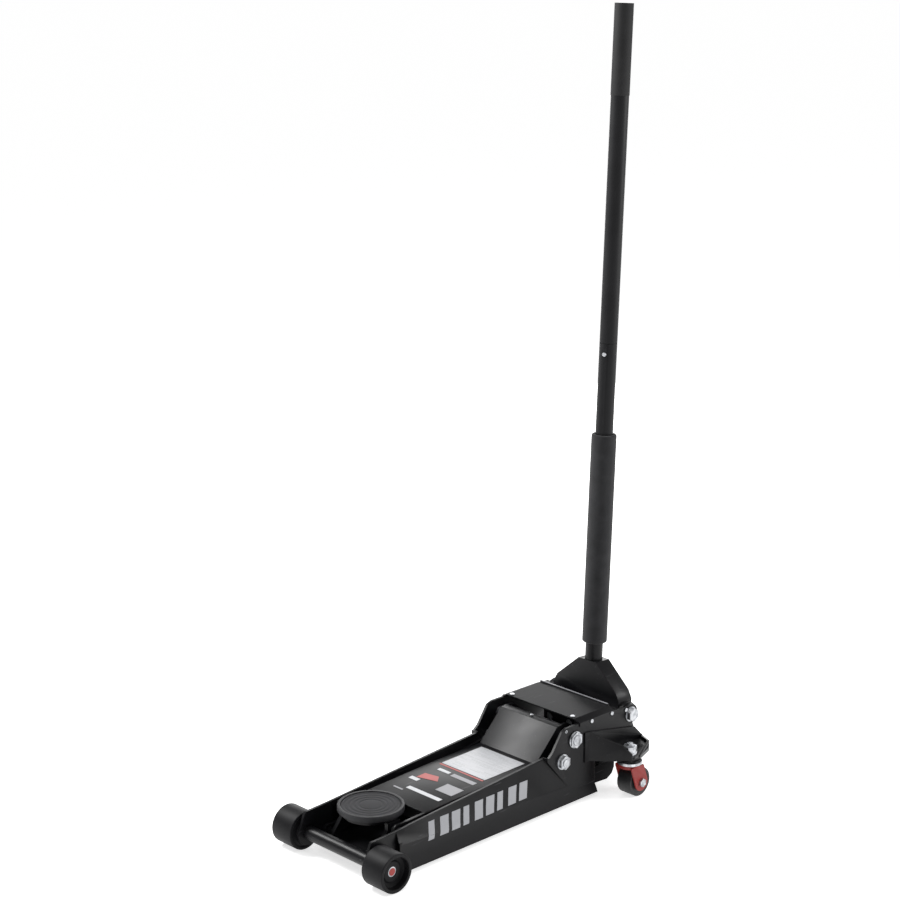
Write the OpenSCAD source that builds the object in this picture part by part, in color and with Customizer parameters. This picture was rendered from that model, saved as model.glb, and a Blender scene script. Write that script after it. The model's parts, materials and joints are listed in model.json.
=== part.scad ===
// Low-profile hydraulic floor jack with a two-piece handle.
// Local datum: front axle centre line above the floor; the model is shifted so that the
// origin is the centre of its bounding box, on the floor. The lifting end faces -Y.

/* [Chassis] */
// Outer radius of the front wheels
front_wheel_r = 36; // [34:1:38]
// Width of each front wheel
front_wheel_w = 51; // [46:1:52]
// Distance over the outer faces of the front wheels
front_track = 294; // [290:2:310]
// Thickness of the side plates
plate_t = 5; // [4:0.5:6]
// Outer half width of the lower side webs
web_x = 101; // [98:1:102]
// Outer half width of the upper edge of the side plates
edge_x = 91; // [90:1:92]

/* [Lift arm] */
// Distance of the arm pivot behind the front axle
arm_y = 498; // [497:1:500]
// Height of the arm pivot
arm_z = 128; // [127:1:129]
// Distance of the saddle pin behind the front axle
saddle_y = 73; // [72:1:74]
// Height of the saddle pin
saddle_z = 67; // [66:1:68]
// Diameter of the saddle
saddle_d = 121; // [110:1:124]

/* [Handle] */
// Distance of the handle pivot behind the front axle
handle_y = 656; // [655:1:657]
// Height of the handle pivot
handle_z = 136; // [135:1:137]
// Backward lean of the handle at rest, in degrees
handle_lean = 2.34; // [0:0.1:4]
// Length of the handle above its pivot
handle_len = 1341.5; // [1200:0.5:1400]
// Outer radius of the handle tubes
tube_r = 17; // [16:0.5:17.5]
// Outer radius of the foam sleeve
sleeve_r = 24.2; // [22:0.1:26]

/* [Casters] */
// Half distance between the caster swivel axes
caster_x = 150; // [149:1:151]
// Distance of the caster swivel axes behind the front axle
caster_y = 600; // [599:1:601]
// Radius of the caster wheels
caster_r = 28.5; // [27.5:0.5:28.5]
// Trail of the caster wheels
caster_trail = 12; // [10:1:13]

/* [Hidden] */
$fn = 64;
grip_r = tube_r + 0.7;
rear_y = handle_y + handle_len * sin(handle_lean) + grip_r * cos(handle_lean);
mid_y = (rear_y - front_wheel_r) / 2;
wheel_x = front_track / 2 - front_wheel_w / 2;
fit = 0.05;
socket_t = 38;
pivot_r = 12;
bolt_r = 8;
nose_r = 24;
web_y = 50;
web_end = 555;
plate_top = 77.65;
top_rise = 0.047;
bevel_front_z = 55.5;
bevel_rear_z = 37.5;
bevel_strips = 5;
tie_y = arm_y - 34;
tie_z = 93;
link_dy = tie_y - arm_y;
link_dz = tie_z - arm_z;
arm_half = 74;
wall = 6;
tie_x = 76.5;
tie_t = 6;
lever_y = arm_y + 36.6;
lever_z = 68.3;
ram_z = 63;
cyl_front = 556;
cyl_rear = 688;
block_y = 632;
spring_x = 50;
spring_z = 37.5;
spring_front = lever_y - 5;
ball_r = 6.5;
roller_angle = 36;
axle_z = front_wheel_r;
cover_z = 164;
cover_half = 90;
plunger_x = 26;
plunger_z = 120;
plunger_head = 658;
roller_arm = 18;
joint_len = 712.6;
button_len = 692.6;
bumper_low = 122;
bumper_high = 536.5;
grip_low = 1175;
wing_z = 74;
caster_w = 33;
fork_gap = 18.3;
fork_t = 3;
nut_h = 13;
black = [0.14, 0.14, 0.15];
zinc = [0.78, 0.79, 0.8];
steel = [0.6, 0.6, 0.62];
rubber = [0.1, 0.1, 0.1];
red = [0.7, 0.1, 0.1];

// ---- Frames and helpers ----

// Shifts local geometry to the model's origin
module placed() translate([0, -mid_y, 0]) children();

// The same piece on the left, by reflection
module left_of() mirror([1, 0, 0]) children();

module both_sides() {
    children();
    left_of() children();
}

// Solid cylinder along X from x0 to x1 about (y, z)
module rod_x(x0, x1, r, y, z) translate([x0, y, z]) rotate([0, 90, 0]) cylinder(r = r, h = x1 - x0);

// Solid cylinder along Y from y0 to y1 about (x, z)
module rod_y(y0, y1, r, x, z) translate([x, y0, z]) rotate([-90, 0, 0]) cylinder(r = r, h = y1 - y0);

// Hexagonal prism along X, by its size across flats
module hex_x(x0, x1, flats, y, z)
    translate([x0, y, z]) rotate([0, 90, 0]) cylinder(r = flats / 2 / cos(30), h = x1 - x0, $fn = 6);

// Side outline, given as [y, z] points, extruded along X from x0 to x1
module side_slab(x0, x1) translate([x0, 0, 0]) rotate([90, 0, 90]) linear_extrude(x1 - x0) children();

// Handle frame: Z runs up the handle from its pivot
module on_handle() translate([0, handle_y, handle_z]) rotate([-handle_lean, 0, 0]) children();

// Leaf of sheet metal with four outer corners c, thickened along the vector d
module leaf(c, d) {
    facing = cross(c[1] - c[0], c[2] - c[0]) * d;
    outer = facing > 0 ? c : [c[3], c[2], c[1], c[0]];
    polyhedron(points = concat(outer, [for (p = outer) p + d]),
        faces = [[0, 1, 2], [0, 2, 3], [6, 5, 4], [7, 6, 4], [0, 4, 5], [0, 5, 1], [1, 5, 6], [1, 6, 2],
            [2, 6, 7], [2, 7, 3], [3, 7, 4], [3, 4, 0]]);
}

// Height of the upper edge of a side plate
function top_z(y) = plate_top + top_rise * y;

// Closed helical wire from z = 0 to h about Z, as one swept polyhedron
module coil(r, wire, h, turns, steps = 10, sides = 4) {
    n = turns * steps;
    ring = [for (i = [0:n]) for (k = [0:sides - 1])
        let (a = 360 * i / steps, b = 360 * k / sides, q = r + wire * cos(b))
        [q * cos(a), q * sin(a), h * i / n + wire * sin(b)]];
    sidefaces = [for (i = [0:n - 1]) for (k = [0:sides - 1])
        let (a = i * sides + k, b = i * sides + (k + 1) % sides, c = b + sides, d = a + sides)
        each [[a, b, c], [a, c, d]]];
    cap0 = [for (k = [1:sides - 2]) [0, k + 1, k]];
    cap1 = [for (k = [1:sides - 2]) [n * sides, n * sides + k, n * sides + k + 1]];
    polyhedron(points = ring, faces = concat(sidefaces, cap0, cap1));
}

// ---- Chassis ----

// Ear outline behind the crease, with a round end about the handle pivot
module ear_outline() union() {
    polygon([[486, 30], [486, bevel_rear_z], [427, 108], [438, 117], [463, 152], [476, 156.5], [610, 156.5],
        [640, 153], [656, 136], [666, 109], [684, 91], [690, 85], [690, 70], [web_end, 70], [web_end, 30]]);
    translate([handle_y, handle_z]) circle(r = 20);
}

// Points along the lower and upper fold of the bent upper band
function between(a, b, i) = a + (b - a) * i / bevel_strips;
function bevel_low(i) = between([web_x, web_y, bevel_front_z - 0.6], [web_x, 487, bevel_rear_z - 0.6], i);
function bevel_high(i) = between([edge_x, web_y, top_z(web_y)], [edge_x, 427.5, 108], i);

module side_plate() color(black) placed() difference() {
    union() {
        side_slab(edge_x - plate_t, edge_x) {
            translate([0, axle_z]) circle(r = nose_r);
            polygon([[0, axle_z - nose_r], [0, top_z(0)], [web_y + 6, top_z(web_y + 6)],
                [web_y + 6, axle_z - nose_r]]);
            polygon([[-18, axle_z + 16], [-8, top_z(0)], [1, top_z(0)], [1, axle_z + 16]]);
        }
        translate([edge_x - plate_t, web_y, axle_z - nose_r])
            cube([web_x - edge_x + plate_t, plate_t, 48]);
        side_slab(web_x - plate_t, web_x) polygon([[web_y, 26], [web_y, bevel_front_z],
            [487, bevel_rear_z], [487, 66], [web_end, 66], [web_end, 26]]);
        for (i = [0:bevel_strips - 1]) leaf([bevel_low(i), bevel_low(i + 1), bevel_high(i + 1),
            bevel_high(i)], [-plate_t, 0, 0]);
        leaf([[web_x, web_y, 26.6], [web_x, web_end, 26.6],
            [110.5, web_end, 8], [110.5, web_y, 8]], [-plate_t, 0, 0]);
        side_slab(web_x - plate_t, web_x) ear_outline();
        hull() {
            translate([edge_x - plate_t, 424, 103]) cube([web_x - edge_x + plate_t, 4, 6]);
            translate([web_x - plate_t, 484, bevel_rear_z - 4]) cube([plate_t, 4, 4]);
        }
    }
    rod_x(60, 120, 13 + fit, 0, axle_z);
    rod_x(60, 120, pivot_r + fit, arm_y, arm_z);
    rod_x(60, 120, bolt_r + fit, tie_y, tie_z);
    rod_x(60, 120, bolt_r + fit, handle_y, handle_z);
}
module side_plate_right() side_plate();
module side_plate_left() left_of() side_plate();

// Transverse plate behind the springs that carries the cylinder
module rear_cross_plate() color(black) placed() difference() {
    translate([-web_x + plate_t, cyl_front, 24]) cube([2 * (web_x - plate_t), 6, 74]);
    rod_y(540, 580, 26, 0, ram_z);
    both_sides() rod_y(540, 580, 11, spring_x, spring_z);
}

// Floor plate between the noses, under the saddle
module front_floor_plate() color(black) placed() {
    translate([-edge_x + plate_t, 14, 14]) cube([2 * (edge_x - plate_t), 250, 4]);
    translate([-web_x + 1.5, web_y + plate_t + 1, 14]) cube([2 * (web_x - 1.5), 208, 4]);
}

module front_cross_tube() color(black) placed() difference() {
    rod_x(-edge_x, edge_x, 13, 0, axle_z);
    rod_x(-edge_x - 1, edge_x + 1, 9 + fit, 0, axle_z);
}

module front_axle() color(steel) placed() rod_x(-128, 128, 9, 0, axle_z);

// Pressed cover over the power unit, with flanges outside the ears and a turned-up lip
module top_cover() color(black) placed() difference() {
    union() {
        translate([-cover_half, 507, cover_z - 2.5]) cube([2 * cover_half, 98, 2.5]);
        translate([-cover_half, 603, cover_z - 2.5]) cube([2 * cover_half, 2.5, 6]);
        both_sides() {
            leaf([[web_x + 2.3, 510, 158], [web_x + 2.3, 606, 158], [cover_half - 1, 606, cover_z],
                [cover_half - 1, 507, cover_z]], [0, 0, -2.5]);
            side_slab(web_x + 0.3, web_x + 2.3) polygon([[510, 157], [510, 150], [650, 142], [650, 149],
                [638, 155], [606, 157]]);
        }
    }
    for (y = [542, 599, 640]) rod_x(-120, 120, 2.5 + fit, y, y < 620 ? 153.5 : 149);
    rod_x(-120, 120, 16.5, handle_y, handle_z);
}

module cover_screws() color(zinc) placed() {
    both_sides() for (y = [542, 599, 640]) {
        rod_x(web_x + 2.3, web_x + 4.3, 4, y, y < 620 ? 153.5 : 149);
        rod_x(web_x + 0.3, web_x + 2.4, 2.5, y, y < 620 ? 153.5 : 149);
    }
    for (x = [-80, 80]) translate([x, 514, cover_z]) cylinder(r = 5, h = 1.5);
}

// Tray that carries a caster: plate, front gusset, outer corner and rear gusset
module caster_wing() color(black) placed() difference() {
    union() {
        translate([0, 0, wing_z]) linear_extrude(6) polygon([[web_x, 533], [150, 580], [166, 588],
            [166, 610], [147, 660], [140, 668], [web_x, 690]]);
        leaf([[web_x, 533, 134], [150, 580, 104.5], [150, 580, wing_z + 1], [web_x, 533, wing_z + 1]],
            [0, 4, 0]);
        leaf([[150, 580, 104.5], [166, 588, 90], [166, 588, wing_z + 1], [150, 580, wing_z + 1]],
            [-1, 3, 0]);
        side_slab(web_x, web_x + 3) polygon([[524, wing_z], [524, 134], [540, 132.6], [666, 108],
            [684, 90], [690, 85], [690, wing_z]]);
        leaf([[web_x, 690, 85], [web_x, 690, 66], [140.5, 667.5, 68], [140.5, 667.5, 90]], [0, -4, 0]);
        leaf([[140, 668, 90], [140, 668, 68], [166, 612, 74.5], [166, 612, 82]], [-3, -1.5, 0]);
        translate([caster_x, caster_y, wing_z - 2]) cylinder(r = 20, h = 3);
    }
    translate([caster_x, caster_y, 0]) cylinder(r = 6 + fit, h = 200);
}
module caster_wing_right() caster_wing();
module caster_wing_left() left_of() caster_wing();

module arm_pivot_shaft() color(zinc) placed() {
    rod_x(-web_x - 1, web_x + 1, pivot_r, arm_y, arm_z);
    both_sides() {
        rod_x(web_x, web_x + 3.5, 16.5, arm_y, arm_z);
        rod_x(web_x + 3, web_x + 7.5, 10, arm_y, arm_z);
    }
}

module shaft_nuts() color(steel) placed() both_sides() difference() {
    hex_x(web_x + 3.7, web_x + 6.5, 28, arm_y, arm_z);
    rod_x(web_x, web_x + 20, 10 + fit, arm_y, arm_z);
}

module tie_rod_bolts() color(zinc) placed() both_sides() {
    rod_x(75.2, web_x + 12, bolt_r, tie_y, tie_z);
    rod_x(web_x, web_x + 3, 15, tie_y, tie_z);
    hex_x(web_x + 3, web_x + 10, 24, tie_y, tie_z);
}

// ---- Power unit ----

module hydraulic_cylinder() color(black) placed() difference() {
    rod_y(cyl_front, cyl_rear, 26, 0, ram_z);
    rod_y(540, cyl_rear - 5, 17 + fit, 0, ram_z);
}

module reservoir() color(black) placed() difference() {
    rod_y(565, block_y, 38, 0, ram_z);
    rod_y(560, block_y + 5, 26, 0, ram_z);
}

module pump_block() color(black) placed() difference() {
    union() {
        translate([-44, block_y, 22]) cube([88, 22, 82]);
        translate([-62, 600, 16]) cube([124, block_y + 22 - 600, 34]);
        side_slab(-88, 88) polygon([[566, 14], [606, 12], [620, 20], [626, 32], [626, 48], [566, 48]]);
        translate([-40, 562, 98]) cube([80, 52, 36]);
        translate([-20, 610, 98]) cube([40, 40, 6]);
        on_valve() translate([0, 0, 23]) cylinder(r = 12, h = 28);
    }
    rod_y(500, 700, 26, 0, ram_z);
    both_sides() {
        rod_y(555, 630, 9, plunger_x, plunger_z);
        rod_y(555, block_y, 11, spring_x, spring_z);
    }
    rod_y(560, block_y, 38, 0, ram_z);
    on_valve() cylinder(r = 8, h = 38);
    translate([0, 590, 124]) cylinder(r = 5, h = 20);
}

module pump_barrels() color(steel) placed() both_sides() difference() {
    rod_y(564, 622, 9, plunger_x, plunger_z);
    rod_y(568, 640, 5 + fit, plunger_x, plunger_z);
}

module filler_plug() color(rubber) placed() translate([0, 590, 124]) {
    cylinder(r = 5, h = 10);
    translate([0, 0, 10]) cylinder(r = 8, h = 3);
}

// Valve axis, from the handle pivot forwards and down at 45 degrees
module on_valve() translate([0, handle_y, handle_z]) rotate([135, 0, 0]) children();

module valve_bush() color(steel) placed() on_valve() difference() {
    translate([0, 0, 22]) cylinder(r = 8, h = 14);
    translate([0, 0, 20]) cylinder(r = 5 + fit, h = 30);
}

module release_valve_stem() color(zinc) placed() on_valve() {
    translate([0, 0, 12]) cylinder(r = 5, h = 25);
    difference() {
        translate([0, 0, 4]) cylinder(r = 9, h = 10);
        sphere(r = ball_r + 0.3);
    }
}

// ---- Lift arm ----

// Side outline of the arm walls
module arm_outline() union() {
    polygon([[62, 60], [62, 78], [66, 81], [100, 81], [300, 90], [420, 92], [478, 150], [492, 152],
        [510, 148], [520, 134], [515, 105], [505, 92], [470, 74], [430, 56], [300, 50], [100, 50],
        [70, 56]]);
    translate([arm_y, arm_z]) circle(r = 24);
}

module lift_arm() color(black) placed() difference() {
    union() {
        both_sides() side_slab(arm_half - wall, arm_half) arm_outline();
        side_slab(-arm_half + 1, arm_half - 1) polygon([[136, 83.3], [300, 90], [420, 92], [478, 150],
            [492, 152], [492, 147], [480, 145.5], [423, 87], [300, 85], [136, 78.2]]);
        rod_x(-arm_half, arm_half, 19, arm_y, arm_z);
        side_slab(-arm_half + 1, arm_half - 1) polygon([[140, 79], [150, 79], [150, 54], [146, 54]]);
    }
    rod_x(-80, 80, pivot_r + fit, arm_y, arm_z);
    both_sides() rod_x(60, 80, 8 + fit, saddle_y, saddle_z);
}

// Twin lever lugs below the pivot, joined to its tube
module arm_lugs() color(black) placed() both_sides() difference() {
    side_slab(26, 36) difference() {
        hull() {
            translate([arm_y + 3, arm_z - 7]) circle(r = 21);
            translate([lever_y, lever_z]) circle(r = 13);
        }
        translate([arm_y, arm_z]) circle(r = 19);
    }
    rod_x(20, 40, 9 + fit, lever_y, lever_z);
}

module lever_pin() color(steel) placed() rod_x(-36, 36, 9, lever_y, lever_z);
module saddle_pin() color(steel) placed() both_sides() rod_x(52, arm_half + 1, 8, saddle_y, saddle_z);

// Yoke that stays level and holds the saddle
module saddle_yoke() color(black) placed() difference() {
    union() {
        translate([0, saddle_y, 78]) cylinder(r = 52, h = 8);
        both_sides() side_slab(53, 61) hull() {
            translate([saddle_y, saddle_z]) circle(r = 13);
            translate([saddle_y + link_dy, saddle_z + link_dz]) circle(r = 9);
        }
        both_sides() translate([53, saddle_y - 15, 66]) cube([8, 30, 16]);
        translate([-54, saddle_y - 12, 76]) cube([108, 24, 8]);
        both_sides() rod_x(60, 83, 6, saddle_y + link_dy, saddle_z + link_dz);
    }
    both_sides() rod_x(50, 62.2, 8 + fit, saddle_y, saddle_z);
    translate([0, saddle_y, 0]) cylinder(r = 12 + fit, h = 200);
}

module saddle_cup() color(black) placed() translate([0, saddle_y, 0]) {
    translate([0, 0, 62]) cylinder(r = 12, h = 27);
    difference() {
        translate([0, 0, 86.3]) cylinder(r = saddle_d / 2, h = 10.7);
        translate([0, 0, 90]) cylinder(r = saddle_d / 2 - 6, h = 20);
    }
}

module saddle_pad() color(rubber) placed() translate([0, saddle_y, 90])
    cylinder(r = saddle_d / 2 - 6.5, h = 6);

module tie_rod() color(black) placed() difference() {
    side_slab(tie_x, tie_x + tie_t) union() {
        hull() {
            translate([tie_y, tie_z]) circle(r = 8);
            translate([saddle_y + link_dy, saddle_z + link_dz]) circle(r = 8);
        }
        translate([tie_y, tie_z]) circle(r = 13);
        translate([saddle_y + link_dy, saddle_z + link_dz]) circle(r = 11);
    }
    rod_x(70, 90, bolt_r + fit, tie_y, tie_z);
    rod_x(70, 90, 6.5, saddle_y + link_dy, saddle_z + link_dz);
}
module tie_rod_right() tie_rod();
module tie_rod_left() left_of() tie_rod();

// ---- Ram ----

module ram_rod() color(steel) placed() {
    rod_y(lever_y + 14.5, 565, 11, 0, ram_z);
    rod_y(564, cyl_rear - 6, 17, 0, ram_z);
}

module ram_head() color(steel) placed() difference() {
    union() {
        translate([-24, lever_y - 15.5, 33]) cube([48, 30, 59]);
        rod_x(-58, 58, 4, spring_front, spring_z);
    }
    hull() for (z = [lever_z - 11.5, lever_z + 2]) rod_x(-30, 30, 10.3, lever_y, z);
}

module return_springs() color(steel) placed() both_sides()
    translate([spring_x, spring_front + 6, spring_z]) rotate([-90, 0, 0])
        coil(8, 1.6, block_y - spring_front - 8, 13);

module pump_plunger() color(steel) placed() {
    rod_y(590, plunger_head - 4, 5, plunger_x, plunger_z);
    rod_y(plunger_head - 4, plunger_head, 8, plunger_x, plunger_z);
}
module pump_plunger_right() pump_plunger();
module pump_plunger_left() left_of() pump_plunger();

module plunger_springs() color(steel) placed() both_sides()
    translate([plunger_x, 624, plunger_z]) rotate([-90, 0, 0]) coil(6.6, 0.9, 28, 5);

// ---- Handle ----

// Front outline of the socket: a wide skirt that narrows to the tube
module socket_outline() polygon([[-23, 87], [23, 87], [77, 40], [86, 24], [86, -2], [64, -2],
    [64, 20], [-64, 20], [-64, -2], [-86, -2], [-86, 24], [-77, 40]]);

// Cross pin of the rollers, from the handle pivot
module on_roller() rotate([roller_angle, 0, 0]) translate([0, 0, -roller_arm]) children();

module handle_socket() color(black) placed() on_handle() difference() {
    union() {
        translate([0, socket_t / 2, 0]) rotate([90, 0, 0]) linear_extrude(socket_t) socket_outline();
        translate([-66, -socket_t / 2, -8]) cube([132, 4, 30]);
        both_sides() rod_x(64, 95, 22, 0, 0);
    }
    translate([-14, -30, -10]) cube([28, 20, 14]);
    translate([0, 0, 24]) cylinder(r = tube_r + fit, h = 80);
    cylinder(r = 13, h = 60);
    rod_x(-100, 100, bolt_r + fit, 0, 0);
    rotate([handle_lean, 0, 0]) on_roller() rod_x(-80, 80, 3, 0, 0);
}

module socket_bolts() color(zinc) placed() both_sides() {
    rod_x(66, web_x + 6, bolt_r, handle_y, handle_z);
    rod_x(web_x, web_x + 2, 15, handle_y, handle_z);
    hex_x(web_x + 2, web_x + 10, 24, handle_y, handle_z);
}

// Rollers on stub pins below the handle pivot; they push the pump plungers forwards
module socket_rollers() color(steel) placed() translate([0, handle_y, handle_z]) on_roller() {
    both_sides() {
        rod_x(plunger_x - 8, plunger_x + 8, 8, 0, 0);
        rod_x(plunger_x - 10, 80, 3, 0, 0);
    }
}

module handle_lower() color(black) placed() on_handle() difference() {
    translate([0, 0, 24]) cylinder(r = tube_r, h = joint_len - 24);
    translate([0, 0, 20]) cylinder(r = tube_r - 2, h = joint_len);
    translate([0, 0, button_len]) rotate([90, 0, 18]) cylinder(r = 4.3, h = 40);
}

module handle_upper() color(black) placed() on_handle() difference() {
    union() {
        translate([0, 0, joint_len + 0.5]) cylinder(r = tube_r, h = handle_len - joint_len - 4);
        translate([0, 0, joint_len - 70]) cylinder(r = tube_r - 2.05, h = 90);
    }
    translate([0, 0, joint_len - 80]) cylinder(r = tube_r - 4, h = handle_len);
    translate([0, 0, button_len]) rotate([90, 0, 18]) cylinder(r = 4.05, h = 40);
}

module hand_grip() color(rubber) placed() on_handle() difference() {
    translate([0, 0, grip_low]) cylinder(r = grip_r, h = handle_len - grip_low);
    translate([0, 0, grip_low - 1]) cylinder(r = tube_r, h = handle_len);
}

module end_cap() color(rubber) placed() on_handle() {
    translate([0, 0, handle_len - 3.5]) cylinder(r = tube_r - 0.02, h = 3.5);
    translate([0, 0, handle_len - 20]) cylinder(r = tube_r - 4, h = 18);
}

module foam_sleeve() color(rubber) placed() on_handle() difference() {
    translate([0, 0, bumper_low]) cylinder(r = sleeve_r, h = bumper_high - bumper_low);
    translate([0, 0, bumper_low - 1]) cylinder(r = tube_r, h = bumper_high);
}

module snap_button() color(zinc) placed() on_handle() translate([0, 0, button_len]) rotate([90, 0, 18]) {
    translate([0, 0, 8]) cylinder(r = 4, h = 11);
}

module drive_ball() color(steel) placed() on_handle() {
    translate([0, 0, 24]) cylinder(r = tube_r - 2, h = 8);
    cylinder(r = 4, h = 25);
    sphere(r = ball_r);
}

// ---- Wheels ----

module front_wheel() color(black) placed() translate([wheel_x - front_wheel_w / 2, 0, axle_z]) rotate([0, 90, 0])
    difference() {
        rotate_extrude($fn = 96) polygon([[9 + fit, 0], [16, 0], [17, 2], [30, 2], [33, 0], [34.5, 1.5],
            [36, 4], [36, 47], [34.5, 50], [31, 51], [29, 49], [28, 34], [9 + fit, 34]]);
    }
module front_wheel_right() front_wheel();
module front_wheel_left() left_of() front_wheel();

module hub_cap() color(zinc) placed() translate([wheel_x - front_wheel_w / 2 + 34, 0, axle_z]) rotate([0, 90, 0])
    rotate_extrude() polygon([[0, 0], [16.5, 0], [16.5, 3], [14, 5], [0, 5.5]]);
module hub_cap_right() hub_cap();
module hub_cap_left() left_of() hub_cap();

module axle_washers() color(zinc) placed() both_sides() difference() {
    rod_x(edge_x + 0.4, edge_x + 4.4, 15, 0, axle_z);
    rod_x(80, 120, 9 + fit, 0, axle_z);
}

// Stud nut, washer and upper race, fixed to the wing
module caster_stud() color(zinc) placed() translate([caster_x, caster_y, 0]) {
    translate([0, 0, 61]) cylinder(r = 6, h = 45);
    translate([0, 0, wing_z + 6]) cylinder(r = 10, h = 6);
    translate([0, 0, wing_z + 12]) cylinder(r = 13.5, h = 2.5);
    translate([0, 0, wing_z + 14]) cylinder(r = 24 / 2 / cos(30), h = nut_h, $fn = 6);
    translate([0, 0, wing_z - 7]) cylinder(r = 24, h = 5);
}
module caster_stud_right() caster_stud();
module caster_stud_left() left_of() caster_stud();

module caster_fork() color(red) placed() {
    translate([caster_x, caster_y, 0]) difference() {
        translate([0, 0, 59.5]) cylinder(r = 22, h = wing_z - 7.4 - 59.5);
        cylinder(r = 6 + fit, h = 200);
    }
    for (s = [-1, 1]) difference() {
        translate([caster_x + s * (fork_gap + fork_t / 2), 0, 0]) side_slab(-fork_t / 2, fork_t / 2) hull() {
            translate([caster_y + caster_trail, caster_r]) circle(r = 17);
            translate([caster_y - 17, 60]) square([34, 4]);
        }
        rod_x(caster_x - 30, caster_x + 30, 5 + fit, caster_y + caster_trail, caster_r);
    }
}
module caster_fork_right() caster_fork();
module caster_fork_left() left_of() caster_fork();

module caster_wheel() color(black) placed() translate([caster_x, caster_y + caster_trail, caster_r])
    rotate([0, 90, 0]) translate([0, 0, -caster_w / 2]) rotate_extrude() polygon([[5 + fit, 0],
        [caster_r - 7, 0], [caster_r - 3, 1], [caster_r, 5], [caster_r, caster_w - 5],
        [caster_r - 3, caster_w - 1], [caster_r - 7, caster_w], [5 + fit, caster_w]]);
module caster_wheel_right() caster_wheel();
module caster_wheel_left() left_of() caster_wheel();

// Axle bolt of the caster wheel, with a flat head and a nut outside the fork
module caster_bolt() color(zinc) placed() {
    rod_x(caster_x - 24, caster_x + 24, 5, caster_y + caster_trail, caster_r);
    for (s = [-1, 1]) translate([s * (fork_gap + fork_t + 2.3), 0, 0])
        hex_x(caster_x - 2.3, caster_x + 2.3, 15, caster_y + caster_trail, caster_r);
}
module caster_bolt_right() caster_bolt();
module caster_bolt_left() left_of() caster_bolt();

side_plate_left();
side_plate_right();
rear_cross_plate();
front_floor_plate();
front_cross_tube();
front_axle();
top_cover();
cover_screws();
caster_wing_left();
caster_wing_right();
arm_pivot_shaft();
shaft_nuts();
tie_rod_bolts();
hydraulic_cylinder();
reservoir();
pump_block();
pump_barrels();
filler_plug();
valve_bush();
release_valve_stem();
lift_arm();
arm_lugs();
lever_pin();
saddle_pin();
saddle_yoke();
saddle_cup();
saddle_pad();
tie_rod_left();
tie_rod_right();
ram_rod();
ram_head();
return_springs();
pump_plunger_left();
pump_plunger_right();
plunger_springs();
handle_socket();
socket_bolts();
socket_rollers();
handle_lower();
handle_upper();
hand_grip();
end_cap();
foam_sleeve();
snap_button();
drive_ball();
front_wheel_left();
front_wheel_right();
caster_stud_left();
caster_stud_right();
caster_fork_left();
caster_fork_right();
caster_wheel_left();
caster_wheel_right();
caster_bolt_left();
caster_bolt_right();
hub_cap_left();
hub_cap_right();
axle_washers();
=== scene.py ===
import json
import math

import bpy
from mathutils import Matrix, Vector


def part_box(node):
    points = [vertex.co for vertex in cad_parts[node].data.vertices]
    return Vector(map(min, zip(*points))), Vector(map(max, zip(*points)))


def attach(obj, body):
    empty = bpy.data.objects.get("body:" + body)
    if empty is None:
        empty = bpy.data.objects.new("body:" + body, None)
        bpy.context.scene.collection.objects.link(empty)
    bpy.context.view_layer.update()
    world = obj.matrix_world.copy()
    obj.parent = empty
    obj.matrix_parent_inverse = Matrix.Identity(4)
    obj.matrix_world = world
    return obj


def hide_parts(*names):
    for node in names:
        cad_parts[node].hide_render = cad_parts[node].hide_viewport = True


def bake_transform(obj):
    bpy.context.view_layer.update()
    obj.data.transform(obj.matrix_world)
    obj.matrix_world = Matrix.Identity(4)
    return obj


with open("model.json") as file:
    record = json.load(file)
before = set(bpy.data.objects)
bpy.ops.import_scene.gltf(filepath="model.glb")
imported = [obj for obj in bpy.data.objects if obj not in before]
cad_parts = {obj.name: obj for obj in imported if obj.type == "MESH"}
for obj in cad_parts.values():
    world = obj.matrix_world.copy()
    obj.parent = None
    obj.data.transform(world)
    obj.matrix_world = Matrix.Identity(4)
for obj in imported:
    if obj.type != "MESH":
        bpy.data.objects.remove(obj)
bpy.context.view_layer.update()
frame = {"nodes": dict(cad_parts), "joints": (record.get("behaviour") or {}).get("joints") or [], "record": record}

# ---- Places, all worked out from the frame ----

MM = 0.001
RECORD = frame["record"]
BODY_OF = {n: b for b, nodes in RECORD["behaviour"]["bodies"].items() for n in nodes}
SLOT_OF = {s["node"]: s["material_slot"] for s in RECORD["subparts"]}
JOINT = {j["name"]: j for j in frame["joints"]}
AXLE_Y = JOINT["front_wheel_right_spin"]["pos_m"][1]


def local(x, y, z):
    """A point given in mm, y counted backwards from the front axle."""
    return Vector((x * MM, AXLE_Y + y * MM, z * MM))


# ---- Camera, lights and stage ----

VIEW_AZIMUTH, VIEW_ELEVATION = math.radians(46.05), math.radians(14.46)
SENSOR_MM, LENS_MM = 36, 83.53
FLOOR_SIZE_M = 400

camera_data = bpy.data.cameras.new("camera")
camera_data.sensor_width = SENSOR_MM
camera_data.lens = LENS_MM
camera = bpy.data.objects.new("camera", camera_data)
bpy.context.scene.collection.objects.link(camera)
camera.location = local(2581.5, -2219.6, 1637.8)
back = Vector((math.sin(VIEW_AZIMUTH) * math.cos(VIEW_ELEVATION),
               -math.cos(VIEW_AZIMUTH) * math.cos(VIEW_ELEVATION), math.sin(VIEW_ELEVATION)))
camera.rotation_euler = (-back).to_track_quat("-Z", "Y").to_euler()
bpy.context.scene.camera = camera
bpy.context.scene.view_settings.view_transform = "Standard"


def soft_light(name, place, aim, size, power):
    """A square softbox at place, aimed at a point."""
    data = bpy.data.lights.new(name, "AREA")
    data.shape = "SQUARE"
    data.size = size
    data.energy = power
    light = bpy.data.objects.new(name, data)
    bpy.context.scene.collection.objects.link(light)
    light.location = place
    light.rotation_euler = (Vector(aim) - Vector(place)).to_track_quat("-Z", "Y").to_euler()


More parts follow.
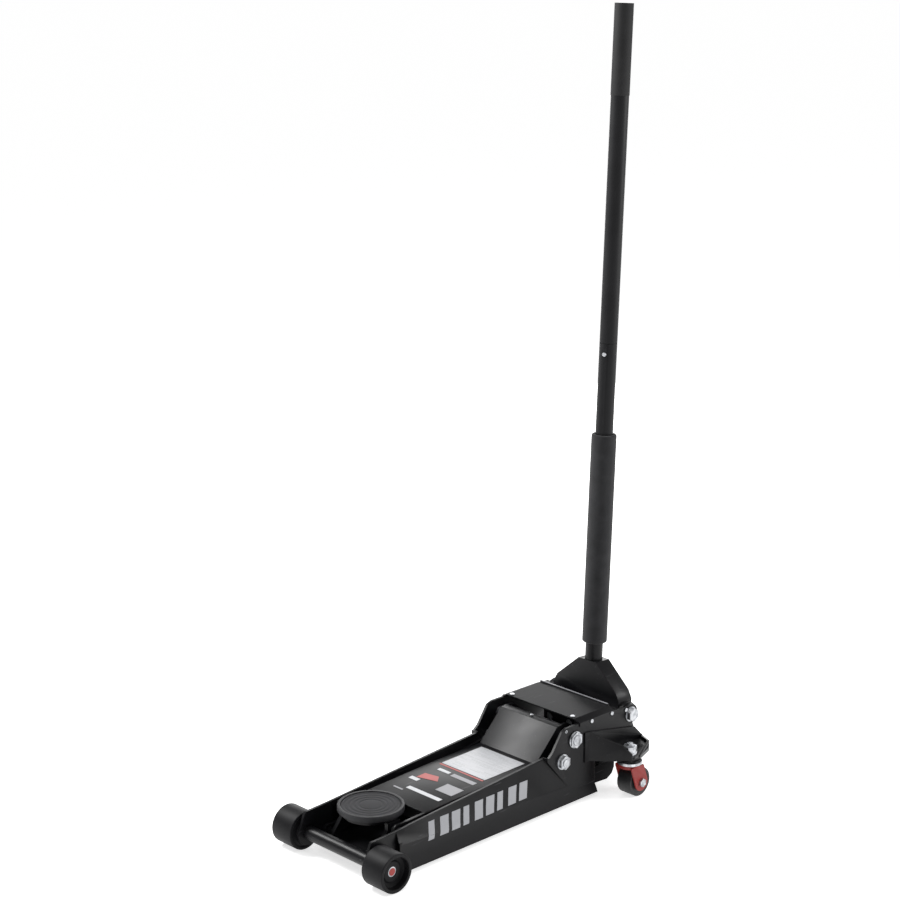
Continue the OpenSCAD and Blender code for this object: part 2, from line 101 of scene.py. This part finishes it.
soft_light("overhead", (0.3, -0.2, 3.2), (0, 0, 0.1), 2.4, 18)
soft_light("panel_glow", (-1.75, -0.95, 2.2), (0, 0.1, 0.12), 1.1, 86)
soft_light("side_glow", (2.2, 2.3, 1.5), (0.1, 0.0, 0.08), 1.1, 48)
soft_light("far_glow", (-2.2, 2.6, 1.1), (0, 0, 0.1), 2.1, 52)

world = bpy.data.worlds.new("studio")
bpy.context.scene.world = world
world.use_nodes = True
world.node_tree.nodes["Background"].inputs["Color"].default_value = (1, 1, 1, 1)
world.node_tree.nodes["Background"].inputs["Strength"].default_value = 0.42

# ---- Materials ----


def linear(hex_colour):
    """sRGB hex to linear RGBA."""
    parts = [int(hex_colour[i:i + 2], 16) / 255 for i in (1, 3, 5)]
    return [c / 12.92 if c <= 0.04045 else ((c + 0.055) / 1.055) ** 2.4 for c in parts] + [1]


def add(tree, kind, settings=None, links=None):
    """Adds a node; settings go on its attributes or sockets, links join others to it."""
    made = tree.nodes.new(kind)
    for key, value in (settings or {}).items():
        if isinstance(key, str) and key.startswith("."):
            setattr(made, key[1:], value)
        else:
            made.inputs[key].default_value = value
    for key, (source, socket) in (links or {}).items():
        tree.links.new(source.outputs[socket], made.inputs[key])
    return made


def new_material(name, **shader):
    """An empty finish: its tree, its shader with the constants set, and object coordinates."""
    material = bpy.data.materials.new(name)
    material.use_nodes = True
    tree = material.node_tree
    principled = tree.nodes["Principled BSDF"]
    for key, value in shader.items():
        principled.inputs[key.replace("_", " ")].default_value = value
    coords = add(tree, "ShaderNodeTexCoord")
    return material, tree, principled, coords


def ramp(tree, source, socket, stops):
    """A colour ramp over a factor, with (position, colour) stops."""
    made = add(tree, "ShaderNodeValToRGB", links={0: (source, socket)})
    band = made.color_ramp
    while len(band.elements) < len(stops):
        band.elements.new(0.5)
    for element, (position, colour) in zip(band.elements, stops):
        element.position = position
        element.color = colour
    return made


def grey(value):
    return [value, value, value, 1]


def grain(tree, coords, size_mm, detail=2.0, stretch=(1, 1, 1)):
    """Noise whose features are about size_mm across, stretched by stretch."""
    mapping = add(tree, "ShaderNodeMapping", {"Scale": stretch}, {"Vector": (coords, "Object")})
    return add(tree, "ShaderNodeTexNoise", {"Scale": 1 / (size_mm * MM), "Detail": detail},
               {"Vector": (mapping, "Vector")})


def surface(tree, principled, height, socket, depth_mm, strength=1.0):
    """Bump from a height, in real depth."""
    bump = add(tree, "ShaderNodeBump", {"Distance": depth_mm * MM, "Strength": strength},
               {"Height": (height, socket)})
    tree.links.new(bump.outputs["Normal"], principled.inputs["Normal"])


def painted(name, dark, light, rough, peel_mm, depth_mm, specular=0.3, scuffs=True):
    """Sprayed or powder coated steel: orange peel, uneven gloss, a film of dust and pale scuffs."""
    material, tree, principled, coords = new_material(name, Specular_IOR_Level=specular)
    clouds = grain(tree, coords, 45, 5)
    tint = ramp(tree, clouds, "Fac", [(0.3, linear(dark)), (0.75, linear(light))])
    colour = (tint, "Color")
    if scuffs:
        scratch = grain(tree, coords, 5, 8, (1, 0.09, 1))
        mask = ramp(tree, scratch, "Fac", [(0.66, grey(0)), (0.74, grey(0.35))])
        mixed = add(tree, "ShaderNodeMix", {".data_type": "RGBA", 7: linear("#4a4a4d")},
                    {0: (mask, "Color"), 6: colour})
        colour = (mixed, 2)
    tree.links.new(colour[0].outputs[colour[1]], principled.inputs["Base Color"])
    gloss = add(tree, "ShaderNodeMapRange", {"To Min": rough - 0.07, "To Max": rough + 0.1},
                {"Value": (clouds, "Fac")})
    tree.links.new(gloss.outputs["Result"], principled.inputs["Roughness"])
    peel = grain(tree, coords, peel_mm, 2)
    surface(tree, principled, peel, "Fac", depth_mm, 0.5)
    return material


def metal(name, dark, light, rough, lay):
    """Bare or plated steel with a directional finish; lay stretches the tool marks."""
    material, tree, principled, coords = new_material(name, Metallic=1.0)
    marks = grain(tree, coords, 0.9, 4, lay)
    clouds = grain(tree, coords, 7, 3)
    tint = ramp(tree, clouds, "Fac", [(0.35, linear(dark)), (0.65, linear(light))])
    tree.links.new(tint.outputs["Color"], principled.inputs["Base Color"])
    gloss = add(tree, "ShaderNodeMapRange", {"To Min": rough - 0.06, "To Max": rough + 0.14},
                {"Value": (marks, "Fac")})
    tree.links.new(gloss.outputs["Result"], principled.inputs["Roughness"])
    surface(tree, principled, marks, "Fac", 0.03, 0.4)
    return material


def moulded(name, dark, light, rough, grit_mm, depth_mm, specular=0.3):
    """Moulded rubber or plastic with a fine texture in the tool's surface."""
    material, tree, principled, coords = new_material(name, Specular_IOR_Level=specular)
    clouds = grain(tree, coords, 20, 4)
    tint = ramp(tree, clouds, "Fac", [(0.3, linear(dark)), (0.7, linear(light))])
    tree.links.new(tint.outputs["Color"], principled.inputs["Base Color"])
    gloss = add(tree, "ShaderNodeMapRange", {"To Min": rough - 0.05, "To Max": rough + 0.06},
                {"Value": (clouds, "Fac")})
    tree.links.new(gloss.outputs["Result"], principled.inputs["Roughness"])
    grit = grain(tree, coords, grit_mm, 2)
    surface(tree, principled, grit, "Fac", depth_mm, 0.6)
    return material


def closed_cell_foam():
    """Closed-cell foam sleeve: small pits in a matte skin, and a soft sheen at the edge."""
    material, tree, principled, coords = new_material(
        "closed_cell_foam", Roughness=0.92, Specular_IOR_Level=0.15, Sheen_Weight=0.12,
        Sheen_Roughness=0.6)
    cells = add(tree, "ShaderNodeTexVoronoi", {"Scale": 1 / (1.6 * MM)},
                {"Vector": (coords, "Object")})
    clouds = grain(tree, coords, 25, 3)
    tint = ramp(tree, clouds, "Fac", [(0.3, linear("#1c1c1e")), (0.7, linear("#272729"))])
    tree.links.new(tint.outputs["Color"], principled.inputs["Base Color"])
    surface(tree, principled, cells, "Distance", 0.35, 0.7)
    return material


def printed_vinyl(name, ground, print_colour, row_mm):
    """White vinyl label with rows of unreadable grey print, a plain block pattern."""
    material, tree, principled, coords = new_material(name, Roughness=0.42, Specular_IOR_Level=0.4)
    row = row_mm * MM
    bars = add(tree, "ShaderNodeTexBrick",
               {"Scale": 1.0, "Brick Width": row * 7, "Row Height": row, "Mortar Size": row * 0.27,
                "Mortar Smooth": 0.1, "Color1": linear(print_colour), "Color2": linear(ground),
                "Mortar": linear(ground)}, {"Vector": (coords, "Object")})
    tree.links.new(bars.outputs["Color"], principled.inputs["Base Color"])
    surface(tree, principled, grain(tree, coords, 8, 2), "Fac", 0.05, 0.3)
    return material


def vinyl(name, colour, worn):
    """Printed decal film with a little wear."""
    material, tree, principled, coords = new_material(name, Roughness=0.4, Specular_IOR_Level=0.4)
    wear = grain(tree, coords, 4, 6)
    tint = ramp(tree, wear, "Fac", [(0.2, linear(worn)), (0.34, linear(colour))])
    tree.links.new(tint.outputs["Color"], principled.inputs["Base Color"])
    surface(tree, principled, wear, "Fac", 0.03, 0.3)
    return material


LAY_TURNED = (14, 1, 1)
FINISH = {
    # black powder coat over pressed steel: dark, satin, slightly dimpled
    "black_paint": painted("black_powder_coat", "#0c0c0e", "#121214", 0.34, 2.2, 0.06, 0.18),
    # satin powder coat on drawn tube
    "tube_paint": painted("satin_tube_coat", "#101012", "#161618", 0.45, 1.8, 0.04, 0.2, False),
    # brushed-on unit enamel over castings
    "unit_paint": painted("pump_unit_enamel", "#0d0d0f", "#131315", 0.6, 4.0, 0.3, 0.06),
    # black enamel over sand-cast iron: coarse skin
    "cast_saddle": painted("cast_iron_enamel", "#1a1a1c", "#262629", 0.55, 3.0, 0.35),
    "cast_wheel": painted("cast_wheel_enamel", "#0d0d0f", "#131315", 0.5, 2.5, 0.12, 0.14, False),
    # red satin stoving enamel on the caster forks
    "red_paint": painted("red_stoving_enamel", "#7c2320", "#8e302c", 0.42, 2.0, 0.05, 0.3, False),
    # moulded rubber of the grip and end cap
    "grip_rubber": moulded("moulded_grip_rubber", "#161617", "#1f1f20", 0.72, 1.2, 0.08),
    "pad_rubber": moulded("saddle_pad_rubber", "#1f1f21", "#2a2a2d", 0.75, 1.5, 0.15),
    # glass-filled nylon of the caster wheels
    "caster_tread": moulded("moulded_nylon", "#141415", "#1d1d1f", 0.5, 1.5, 0.05, 0.4),
    "foam": closed_cell_foam(),
    # bright zinc plate on bolts, nuts, races and washers
    "zinc_plate": metal("bright_zinc_plate", "#97999d", "#c3c5c8", 0.32, LAY_TURNED),
    # turned and ground steel
    "bare_steel": metal("turned_steel", "#5c5e61", "#848689", 0.38, LAY_TURNED),
    "spring_steel": metal("drawn_spring_wire", "#4e4f52", "#77787b", 0.38, (1, 1, 1)),
}
LABEL = printed_vinyl("printed_white_label", "#aeafb2", "#97989b", 4.2)
WHITE_FILM = vinyl("white_decal_film", "#b2b3b6", "#8c8d90")
SILVER_FILM = vinyl("silver_decal_film", "#97989c", "#7f8084")
RED_FILM = vinyl("red_decal_film", "#96302b", "#6c2420")
GREY_FILM = vinyl("grey_decal_film", "#7c7c80", "#4c4c50")

for node_name, node_object in frame["nodes"].items():
    node_object.data.materials.clear()
    node_object.data.materials.append(FINISH[SLOT_OF[node_name]])


# ---- Modelling helpers ----


def only(piece):
    """Makes one piece the active and only selected one."""
    bpy.ops.object.select_all(action="DESELECT")
    piece.select_set(True)
    bpy.context.view_layer.objects.active = piece


def apply_modifier(piece, kind, **settings):
    only(piece)
    modifier = piece.modifiers.new(kind.lower(), kind)
    for key, value in settings.items():
        setattr(modifier, key, value)
    bpy.ops.object.modifier_apply(modifier=modifier.name)


def settle(piece):
    """Puts the piece's place into its mesh, so that its object sits at the origin."""
    only(piece)
    bpy.ops.object.transform_apply(location=True, rotation=True, scale=True)


def smooth(piece, degrees=40):
    only(piece)
    bpy.ops.object.shade_smooth_by_angle(angle=math.radians(degrees))


def finish_piece(piece, name, body, material):
    """Names the piece, gives it its finish and lets it ride on its body."""
    piece.name = name
    piece.data.materials.clear()
    piece.data.materials.append(material)
    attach(piece, body)


def soften(node, width_mm, segments=2):
    """The node's own shape with its sharp edges rounded, as press tools and castings leave them."""
    source = frame["nodes"][node]
    piece = bpy.data.objects.new(node + "_rounded", source.data.copy())
    bpy.context.scene.collection.objects.link(piece)
    only(piece)
    bpy.ops.object.mode_set(mode="EDIT")
    bpy.ops.mesh.select_all(action="SELECT")
    bpy.ops.mesh.remove_doubles(threshold=0.00002)
    bpy.ops.mesh.dissolve_limited(angle_limit=math.radians(0.8))
    bpy.ops.object.mode_set(mode="OBJECT")
    apply_modifier(piece, "BEVEL", width=width_mm * MM, segments=segments, limit_method="ANGLE",
                   angle_limit=math.radians(32), use_clamp_overlap=True)
    smooth(piece, 25)
    finish_piece(piece, node + "_rounded", BODY_OF[node], FINISH[SLOT_OF[node]])
    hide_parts(node)


# ---- Rounded metalwork ----

EDGE = {
    "side_plate_left": 0.8, "side_plate_right": 0.8, "rear_cross_plate": 0.8, "top_cover": 0.6,
    "caster_wing_left": 0.8, "caster_wing_right": 0.8, "lift_arm": 1.2, "arm_lugs": 1.0,
    "saddle_yoke": 1.0, "tie_rod_left": 0.8, "tie_rod_right": 0.8, "ram_head": 1.2,
    "handle_socket": 2.2, "pump_block": 1.5, "hydraulic_cylinder": 1.5, "reservoir": 1.5,
    "arm_pivot_shaft": 1.6, "shaft_nuts": 0.8, "tie_rod_bolts": 1.1, "socket_bolts": 1.1,
    "cover_screws": 0.7, "front_cross_tube": 0.5, "front_axle": 0.8, "saddle_cup": 1.4,
    "handle_lower": 0.4, "handle_upper": 0.4, "end_cap": 1.2, "snap_button": 1.0,
    "caster_stud_left": 0.8, "caster_stud_right": 0.8, "caster_fork_left": 0.8,
    "caster_fork_right": 0.8, "caster_bolt_left": 0.7, "caster_bolt_right": 0.7,
    "hub_cap_left": 0.8, "hub_cap_right": 0.8, "filler_plug": 1.0, "axle_washers": 0.4,
    "socket_rollers": 0.8,
}
for edge_node, edge_width in EDGE.items():
    soften(edge_node, edge_width, 3 if edge_width > 1 else 2)


# ---- Turned parts ----


def pick_faces(piece, wanted):
    """Leaves only the faces selected for which wanted(face) holds, in edit mode."""
    only(piece)
    bpy.ops.object.mode_set(mode="EDIT")
    bpy.ops.mesh.select_mode(type="FACE")
    bpy.ops.mesh.select_all(action="DESELECT")
    bpy.ops.object.mode_set(mode="OBJECT")
    for face in piece.data.polygons:
        face.select = wanted(face)
    bpy.ops.object.mode_set(mode="EDIT")


def turned(name, node, radius_mm, length_mm, ends, bore_mm, place, direction, material, bevel_mm):
    """A turned part: a bored cylinder whose ends are stepped by (inset, rise) pairs in mm.

    It stands on place and runs along direction; ends gives the far end first.
    """
    bpy.ops.mesh.primitive_cylinder_add(vertices=96, radius=radius_mm * MM, depth=length_mm * MM,
                                        location=(0, 0, length_mm / 2 * MM))
    piece = bpy.context.object
    settle(piece)
    for up, steps in zip((1, -1), ends):
        pick_faces(piece, lambda face: face.normal.z * up > 0.9)
        reached = radius_mm
        for inset_mm, rise_mm in steps:
            bpy.ops.mesh.inset(thickness=inset_mm * MM)
            bpy.ops.transform.translate(value=(0, 0, up * rise_mm * MM))
            reached -= inset_mm
        bpy.ops.mesh.inset(thickness=(reached - bore_mm) * MM)
        bpy.ops.object.mode_set(mode="OBJECT")
    pick_faces(piece, lambda face: len(face.vertices) > 4)
    bpy.ops.mesh.bridge_edge_loops()
    bpy.ops.mesh.select_all(action="SELECT")
    bpy.ops.mesh.normals_make_consistent(inside=False)
    bpy.ops.object.mode_set(mode="OBJECT")
    piece.rotation_euler = Vector(direction).to_track_quat("Z", "Y").to_euler()
    piece.location = place
    settle(piece)
    apply_modifier(piece, "BEVEL", width=bevel_mm * MM, segments=4, limit_method="ANGLE",
                   angle_limit=math.radians(28))
    smooth(piece, 35)
    finish_piece(piece, name, BODY_OF[node], material)
    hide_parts(node)


FRONT_OUTER = [(6.5, 0), (1.2, -12), (8, -1), (1.5, 2)]
FRONT_INNER = [(5, 0), (1.5, -1.8), (10, 0), (1.5, 1.8)]
CASTER_END = [(5, 0), (1.5, -1.2), (8, 0), (1.5, 1.2)]
for side, sign in (("left", -1), ("right", 1)):
    low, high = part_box("front_wheel_" + side)
    base = Vector((low.x if sign > 0 else high.x, (low.y + high.y) / 2, (low.z + high.z) / 2))
    turned(f"front_wheel_{side}_turned", "front_wheel_" + side, (high.z - low.z) / 2 / MM,
           (high.x - low.x) / MM, (FRONT_OUTER, FRONT_INNER), 9.05, base, (sign, 0, 0),
           FINISH["cast_wheel"], 1.1)
    low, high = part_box("caster_wheel_" + side)
    base = Vector((low.x, (low.y + high.y) / 2, (low.z + high.z) / 2))
    turned(f"caster_wheel_{side}_turned", "caster_wheel_" + side, (high.z - low.z) / 2 / MM,
           (high.x - low.x) / MM, (CASTER_END, CASTER_END), 5.05, base, (1, 0, 0),
           FINISH["caster_tread"], 1.1)

handle_pivot = Vector(JOINT["handle_twist"]["pos_m"])
handle_axis = Vector(JOINT["handle_twist"]["axis"]).normalized()
SLEEVES = (("foam_sleeve", 24.2, 17.05, 3.2, "foam"),
           ("hand_grip", 17.7, 17.02, 0.3, "grip_rubber"))
for node, radius_mm, bore_mm, round_mm, finish in SLEEVES:
    stations = [(Vector(vertex.co) - handle_pivot).dot(handle_axis)
                for vertex in frame["nodes"][node].data.vertices]
    foot = handle_pivot + handle_axis * min(stations)
    turned(node + "_moulded", node, radius_mm, (max(stations) - min(stations)) / MM, ((), ()),
           bore_mm, foot, handle_axis, FINISH[finish], round_mm)


# ---- Small screws ----


def screw_head(name, place, normal, radius_mm, height_mm, body):
    """A socket-head screw with rounded edges and a round recess."""
    bpy.ops.mesh.primitive_cylinder_add(vertices=36, radius=radius_mm * MM, depth=height_mm * MM)
    piece = bpy.context.object
    for polygon in piece.data.polygons:
        polygon.select = polygon.normal.z > 0.9
    bpy.ops.object.mode_set(mode="EDIT")
    bpy.ops.mesh.select_mode(type="FACE")
    bpy.ops.mesh.inset(thickness=radius_mm * 0.55 * MM)
    bpy.ops.mesh.extrude_region_move(
        TRANSFORM_OT_translate={"value": (0, 0, -height_mm * 0.6 * MM)})
    bpy.ops.object.mode_set(mode="OBJECT")
    piece.rotation_euler = Vector(normal).to_track_quat("Z", "Y").to_euler()
    piece.location = place
    settle(piece)
    apply_modifier(piece, "BEVEL", width=radius_mm * 0.16 * MM, segments=3, limit_method="ANGLE")
    smooth(piece)
    finish_piece(piece, name, body, FINISH["zinc_plate"])


arm_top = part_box("lift_arm")[1].z
screw_head("arm_stop_screw", Vector((0, local(0, 486, 0).y, arm_top + 0.3 * MM)), (0, 0, 1),
           3.2, 2.4, "arm")
for side, sign in (("left", -1), ("right", 1)):
    screw_head("ear_screw_" + side, Vector((sign * 101 * MM, *local(0, 474, 150).yz)), (sign, 0, 0),
               3.0, 2.0, "frame")


# ---- Springs ----


def coil_spring(name, x, y0, y1, z, radius, wire, turns):
    """A round-wire spring along Y, from y0 to y1."""
    bpy.ops.mesh.primitive_circle_add(vertices=10, radius=wire * MM, location=(radius * MM, 0, 0),
                                      rotation=(math.pi / 2, 0, 0))
    piece = bpy.context.object
    settle(piece)
    apply_modifier(piece, "SCREW", axis="Z", angle=2 * math.pi, iterations=turns, steps=24,
                   render_steps=24, screw_offset=(y1 - y0) * MM / turns, use_merge_vertices=False)
    bpy.ops.object.mode_set(mode="EDIT")
    bpy.ops.mesh.select_all(action="SELECT")
    bpy.ops.mesh.fill_holes(sides=0)
    bpy.ops.mesh.normals_make_consistent(inside=False)
    bpy.ops.object.mode_set(mode="OBJECT")
    piece.rotation_euler = (-math.pi / 2, 0, 0)
    piece.location = local(x, y0, z)
    settle(piece)
    smooth(piece, 60)
    piece.name = name
    piece.data.materials.clear()
    piece.data.materials.append(FINISH["spring_steel"])
    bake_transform(piece)
    return piece


spring_low, spring_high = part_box("return_springs")
return_r, return_wire = 8, 1.6
return_x = spring_high.x / MM - return_r - return_wire
return_y = [(spring_low.y - AXLE_Y) / MM + return_wire,
            (spring_high.y - AXLE_Y) / MM - return_wire]
for side, sign in (("left", -1), ("right", 1)):
    made = coil_spring("return_spring_" + side, sign * return_x, return_y[0], return_y[1],
                       (spring_low.z + spring_high.z) / 2 / MM, return_r, return_wire, 14)
    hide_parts("return_springs")

plunger_low, plunger_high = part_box("plunger_springs")
plunger_r, plunger_wire = 6.6, 0.9
plunger_x = plunger_high.x / MM - plunger_r - plunger_wire
plunger_y = [(plunger_low.y - AXLE_Y) / MM + plunger_wire,
             (plunger_high.y - AXLE_Y) / MM - plunger_wire]
for side, sign in (("left", -1), ("right", 1)):
    made = coil_spring("plunger_spring_" + side, sign * plunger_x, plunger_y[0], plunger_y[1],
                       (plunger_low.z + plunger_high.z) / 2 / MM, plunger_r, plunger_wire, 5)
    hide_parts("plunger_springs")


# ---- Saddle pad with rings ----

pad_low, pad_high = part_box("saddle_pad")
pad_r = (pad_high.x - pad_low.x) / 2
bpy.ops.mesh.primitive_cylinder_add(vertices=96, radius=pad_r,
                                    depth=pad_high.z - pad_low.z - 0.6 * MM,
                                    location=(pad_low + pad_high) / 2 - Vector((0, 0, 0.3 * MM)))
pad = bpy.context.object
settle(pad)
pick_faces(pad, lambda face: face.normal.z > 0.9)
for ring in range(4):
    bpy.ops.mesh.inset(thickness=4 * MM)
    bpy.ops.mesh.inset(thickness=0.8 * MM)
    bpy.ops.transform.translate(value=(0, 0, -0.5 * MM))
    bpy.ops.mesh.inset(thickness=3.2 * MM)
    bpy.ops.mesh.inset(thickness=0.8 * MM)
    bpy.ops.transform.translate(value=(0, 0, 0.5 * MM))
bpy.ops.object.mode_set(mode="OBJECT")
apply_modifier(pad, "BEVEL", width=0.5 * MM, segments=2, limit_method="ANGLE",
               angle_limit=math.radians(25))
smooth(pad)
finish_piece(pad, "ringed_saddle_pad", "saddle", FINISH["pad_rubber"])
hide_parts("saddle_pad")


# ---- Painted highlight along the cover's lip ----

cover_low, cover_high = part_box("top_cover")
lip_wall = 2.5 * MM
bpy.ops.mesh.primitive_cube_add(size=1, location=(0, local(0, 603, 0).y + lip_wall / 2,
                                                  cover_high.z - 0.6 * MM))
lip = bpy.context.object
lip.scale = (177 * MM, lip_wall + 0.5 * MM, 1.6 * MM)
settle(lip)
apply_modifier(lip, "BEVEL", width=0.5 * MM, segments=3, limit_method="ANGLE")
smooth(lip)
# a light grey strip along the lip's edge: a painted highlight of the light the edge catches
LIP_HIGHLIGHT_PAINT = painted("painted_lip_highlight", "#77777b", "#8f8f94", 0.45, 2.0, 0.05)
finish_piece(lip, "cover_lip_painted_highlight", "frame", LIP_HIGHLIGHT_PAINT)


# ---- Label and decals ----


def film(name, outline, body, target, material, axis):
    """A decal of a four-cornered outline in mm, pressed onto a node along the given axis."""
    bpy.ops.mesh.primitive_plane_add(size=1)
    piece = bpy.context.object
    corners = (outline[0], outline[1], outline[3], outline[2])
    for vertex, corner in zip(piece.data.vertices, corners):
        vertex.co = local(*corner)
    bpy.ops.object.mode_set(mode="EDIT")
    bpy.ops.mesh.select_all(action="SELECT")
    bpy.ops.mesh.subdivide(number_cuts=6)
    bpy.ops.object.mode_set(mode="OBJECT")
    apply_modifier(piece, "SHRINKWRAP", target=frame["nodes"][target], wrap_method="PROJECT",
                   use_project_x=axis == "x", use_project_y=False, use_project_z=axis == "z",
                   use_negative_direction=True, use_positive_direction=True, offset=0.3 * MM)
    apply_modifier(piece, "SOLIDIFY", thickness=0.25 * MM, offset=0)
    smooth(piece, 30)
    finish_piece(piece, name, body, material)


def panel(x0, x1, y0, y1):
    """A flat rectangle above the arm, in mm."""
    return [(x0, y0, 120), (x1, y0, 120), (x1, y1, 120), (x0, y1, 120)]


film("arm_label", panel(-57, 57, 303, 408), "arm", "lift_arm", LABEL, "z")
film("label_red_line", panel(-57, 57, 296, 300), "arm", "lift_arm", RED_FILM, "z")
film("arm_bar_long", panel(-28, 58, 184, 194), "arm", "lift_arm", WHITE_FILM, "z")
film("arm_bar_thin", panel(-50, -26, 172, 176), "arm", "lift_arm", GREY_FILM, "z")
film("arm_bar_short", panel(-56, -34, 216, 226), "arm", "lift_arm", WHITE_FILM, "z")
film("arm_red_arrow", [(-47, 228, 120), (-3, 240, 120), (-16, 256, 120), (-47, 250, 120)], "arm",
     "lift_arm", RED_FILM, "z")
film("arm_grey_block", panel(18, 60, 214, 246), "arm", "lift_arm", GREY_FILM, "z")
film("arm_bar_upper", panel(-4, 56, 273, 284), "arm", "lift_arm", GREY_FILM, "z")
film("arm_bar_upper_short", panel(-42, -12, 276, 284), "arm", "lift_arm", WHITE_FILM, "z")

BAR_COUNT, BAR_START, BAR_END = 9, 118, 378
BAR_PITCH = (BAR_END - BAR_START) / BAR_COUNT
for side, sign in (("left", -1), ("right", 1)):
    for index in range(BAR_COUNT):
        start = BAR_START + index * BAR_PITCH
        wide = BAR_PITCH * (0.72 if index % 3 else 0.5)
        low, high, slant = 44 + index * 0.55, 76 + index * 0.55, 7
        outline = [(sign * 112, start, low), (sign * 112, start + wide, low),
                   (sign * 112, start + wide + slant, high), (sign * 112, start + slant, high)]
        film(f"side_bar_{side}_{index}", outline, "frame", "side_plate_" + side, SILVER_FILM, "x")


# ---- Hub stickers ----

for side, sign in (("left", -1), ("right", 1)):
    low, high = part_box("hub_cap_" + side)
    face_x = high.x if sign > 0 else low.x
    centre = (face_x, (low.y + high.y) / 2, (low.z + high.z) / 2)
    bpy.ops.mesh.primitive_cylinder_add(vertices=48, radius=7 * MM, depth=0.4 * MM,
                                        location=centre, rotation=(0, math.pi / 2, 0))
    sticker = bpy.context.object
    settle(sticker)
    apply_modifier(sticker, "BEVEL", width=0.1 * MM, segments=1, limit_method="ANGLE")
    finish_piece(sticker, "hub_sticker_" + side, "front_wheel_" + side, RED_FILM)


# ---- Stage ----

bpy.ops.mesh.primitive_plane_add(size=FLOOR_SIZE_M, location=(0, 0, -0.0004))
floor = bpy.context.object
floor.name = "floor"
floor_material, _, floor_shader, _ = new_material("pale_floor", Roughness=0.9,
                                                  Specular_IOR_Level=0.0)
floor_shader.inputs["Base Color"].default_value = (0.8, 0.8, 0.8, 1)
floor_shader.inputs["Emission Color"].default_value = (1, 1, 1, 1)
floor_shader.inputs["Emission Strength"].default_value = 0.66
floor.data.materials.append(floor_material)
